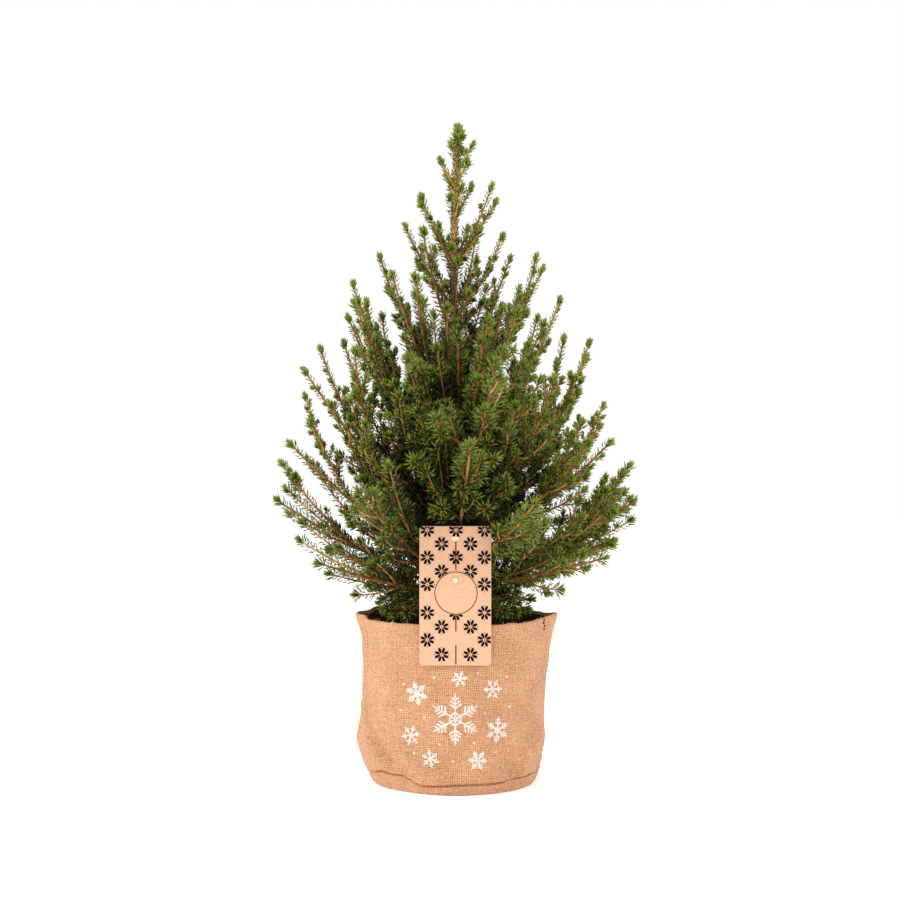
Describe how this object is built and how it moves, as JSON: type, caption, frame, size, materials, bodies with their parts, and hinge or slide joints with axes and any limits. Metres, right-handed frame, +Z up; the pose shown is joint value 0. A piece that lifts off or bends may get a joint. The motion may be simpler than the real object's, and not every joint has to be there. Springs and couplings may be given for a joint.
{
  "type": "potted alberta spruce",
  "caption": "Small cone-shaped evergreen with upswept boughs and short needles, in a soft woven sack with soil and a card label on a stake.",
  "frame": {"origin": "middle of the flat underside of the sack", "axes": "+Z up along the trunk, -Y towards the label, +X to the right of the label"},
  "size_m": [0.3514, 0.3188, 0.654],
  "materials": {
    "bark": "matte",
    "needles": "satin",
    "jute": "matte",
    "peat": "matte",
    "kraft_card": "matte",
    "cream_stake": "matte"
  },
  "bodies": {
    "root": {"bough_00": "bark", "bough_01": "bark", "bough_02": "bark", "bough_03": "bark", "bough_04": "bark", "bough_05": "bark", "bough_06": "bark", "bough_07": "bark", "bough_08": "bark", "bough_09": "bark", "bough_10": "bark", "bough_11": "bark", "bough_12": "bark", "bough_13": "bark", "bough_14": "bark", "bough_15": "bark", "bough_16": "bark", "bough_17": "bark", "bough_18": "bark", "bough_19": "bark", "bough_20": "bark", "bough_21": "bark", "bough_22": "bark", "foliage_00": "needles", "foliage_01": "needles", "foliage_02": "needles", "foliage_03": "needles", "foliage_04": "needles", "foliage_05": "needles", "foliage_06": "needles", "foliage_07": "needles", "foliage_08": "needles", "foliage_09": "needles", "foliage_10": "needles", "foliage_11": "needles", "foliage_12": "needles", "foliage_13": "needles", "foliage_14": "needles", "foliage_15": "needles", "foliage_16": "needles", "foliage_17": "needles", "foliage_18": "needles", "foliage_19": "needles", "foliage_20": "needles", "foliage_21": "needles", "foliage_22": "needles", "foliage_23": "needles", "foliage_24": "needles", "foliage_25": "needles", "foliage_26": "needles", "foliage_27": "needles", "foliage_28": "needles", "foliage_29": "needles", "foliage_leader": "needles", "label_card": "kraft_card", "label_stake": "cream_stake", "sack": "jute", "soil": "peat", "trunk": "bark"}
  },
  "joints": []
}
